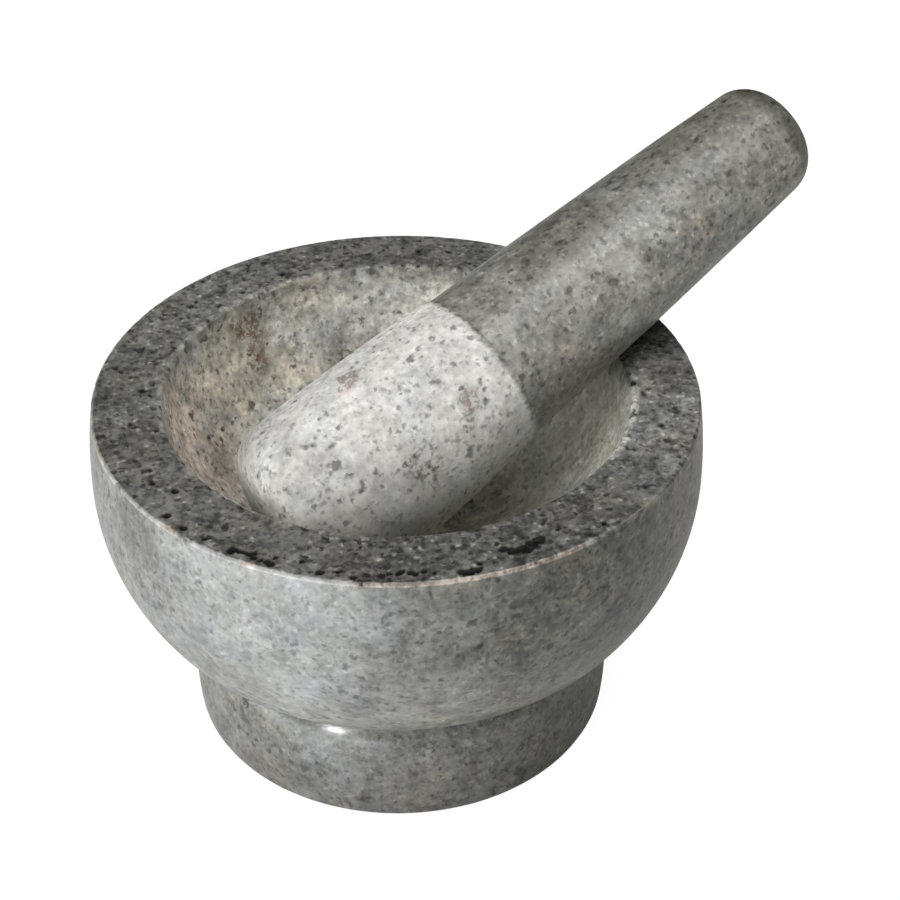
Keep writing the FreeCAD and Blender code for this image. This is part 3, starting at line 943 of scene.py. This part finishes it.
def make_floor_material():
    material = bpy.data.materials.new("pale_floor")
    N = Nodes(material)
    matt = N.add("BsdfDiffuse", {"Color": (0.85, 0.85, 0.845)})
    # to the camera the floor mostly glows, so its shadows stay faint
    glow = N.add("Emission", {"Color": (1.0, 1.0, 1.0), "Strength": 1.10})
    camera_ray = N.add("LightPath").outputs["Is Camera Ray"]
    N.show(camera_mix(N, N.times(camera_ray, 0.88), other=matt, seen=glow))
    return material


floor_mesh = bpy.data.meshes.new("floor")
floor_corners = [(x * FLOOR_HALF, y * FLOOR_HALF, 0)
                 for x, y in ((-1, -1), (1, -1), (1, 1), (-1, 1))]
floor_mesh.from_pydata(floor_corners, [], [(0, 1, 2, 3)])
floor = bpy.data.objects.new("floor", floor_mesh)
floor.location.z = -FLOOR_DROP
bpy.context.scene.collection.objects.link(floor)
floor.data.materials.append(make_floor_material())

# ---------------------------------------------------------------- light, metres and watts
LIGHT_AIM = (0.0, 0.0, 0.06)
LIGHT_CENTRE_Z = 0.05  # height that elevations are taken from
LIGHTS = (  # name, azimuth and elevation in degrees, distance, size, watts
    ("left_high", -150, 50, 1.1, 0.42, 4.6),
    ("left_front_low", -120, 20, 1.0, 0.45, 1.7),
    ("left_low", 180, 20, 1.0, 0.45, 2.0),
    ("left_mid_low", -150, 20, 1.0, 0.45, 1.8),
    ("over_right", -15, 73, 1.15, 0.46, 4.6),
    ("right_front_low", -60, 20, 1.0, 0.45, 0.4),
    ("right_high", 15, 50, 1.1, 0.45, 0.7),
    ("compact", -121, 0.8, 0.35, 0.03, 0.34),
    ("over_front", -120, 75, 1.2, 0.45, 1.1),
    ("over_back", 60, 75, 1.2, 0.45, 0.5),
    ("front_high", -110, 50, 1.1, 0.45, 0.5),
    ("front_low", -90, 20, 1.0, 0.45, 0.25),
)
CARDS = (  # lying by the floor, facing up: name, azimuth in degrees, distance, size, watts
    ("card_front", -112, 0.38, 0.28, 1.0),
    ("card_left", -150, 0.38, 0.28, 0.95),
    ("card_near", -129, 0.19, 0.17, 0.21),
)
CARD_Z, CARD_COLOUR = 0.001, (0.90, 0.96, 1.0)


def add_area(name, where, aim, size, watts, colour=(1, 1, 1)):
    data = bpy.data.lights.new(name, "AREA")
    data.energy = watts
    data.color = colour
    data.shape = "SQUARE"
    data.size = size
    obj = bpy.data.objects.new(name, data)
    obj.location = where
    obj.rotation_euler = (Vector(aim) - Vector(where)).to_track_quat("-Z", "Y").to_euler()
    obj.visible_camera = False
    bpy.context.scene.collection.objects.link(obj)


for name, azimuth, elevation, distance, size, watts in LIGHTS:
    a, e = math.radians(azimuth), math.radians(elevation)
    where = (distance * math.cos(e) * math.cos(a), distance * math.cos(e) * math.sin(a),
             distance * math.sin(e) + LIGHT_CENTRE_Z)
    add_area(name, where, LIGHT_AIM, size, watts)
for name, azimuth, distance, size, watts in CARDS:
    where = on_circle(math.radians(azimuth), distance, CARD_Z)
    add_area(name, where, (where[0], where[1], 1.0), size, watts, CARD_COLOUR)

# ---------------------------------------------------------------- world
world = bpy.data.worlds.new("studio")
bpy.context.scene.world = world
W = Nodes(world, "OutputWorld")
fill = W.add("Background", {"Color": (1.0, 1.0, 1.0), "Strength": 0.02})
backdrop = W.add("Background", {"Color": (0.93, 0.93, 0.93), "Strength": 1.0})
W.show(camera_mix(W, W.add("LightPath").outputs["Is Camera Ray"], other=fill, seen=backdrop))
bpy.context.scene.view_settings.view_transform = "Standard"
bpy.context.scene.view_settings.look = "None"

# ---------------------------------------------------------------- camera
CAMERA_PLACE = (0.0, -0.398650, RIM_HEIGHT + 0.274485)
CAMERA_RIGHT = Vector((0.999471694, -0.0325012420, -0.0000349166629))
CAMERA_UP = Vector((0.0192898, 0.59233078, 0.80546394))
CAMERA_FORWARD = Vector((0.0261579, 0.80503908, -0.59264479))

cam_data = bpy.data.cameras.new("camera")
cam_data.sensor_fit = "HORIZONTAL"
cam_data.sensor_width = 36.0
cam_data.lens = 79.828
cam_data.clip_start = 0.02
cam_data.clip_end = 30.0
camera = bpy.data.objects.new("camera", cam_data)
bpy.context.scene.collection.objects.link(camera)
facing = Matrix((CAMERA_RIGHT, CAMERA_UP, -CAMERA_FORWARD)).transposed().to_4x4()
camera.matrix_world = Matrix.Translation(CAMERA_PLACE) @ facing
bpy.context.scene.camera = camera
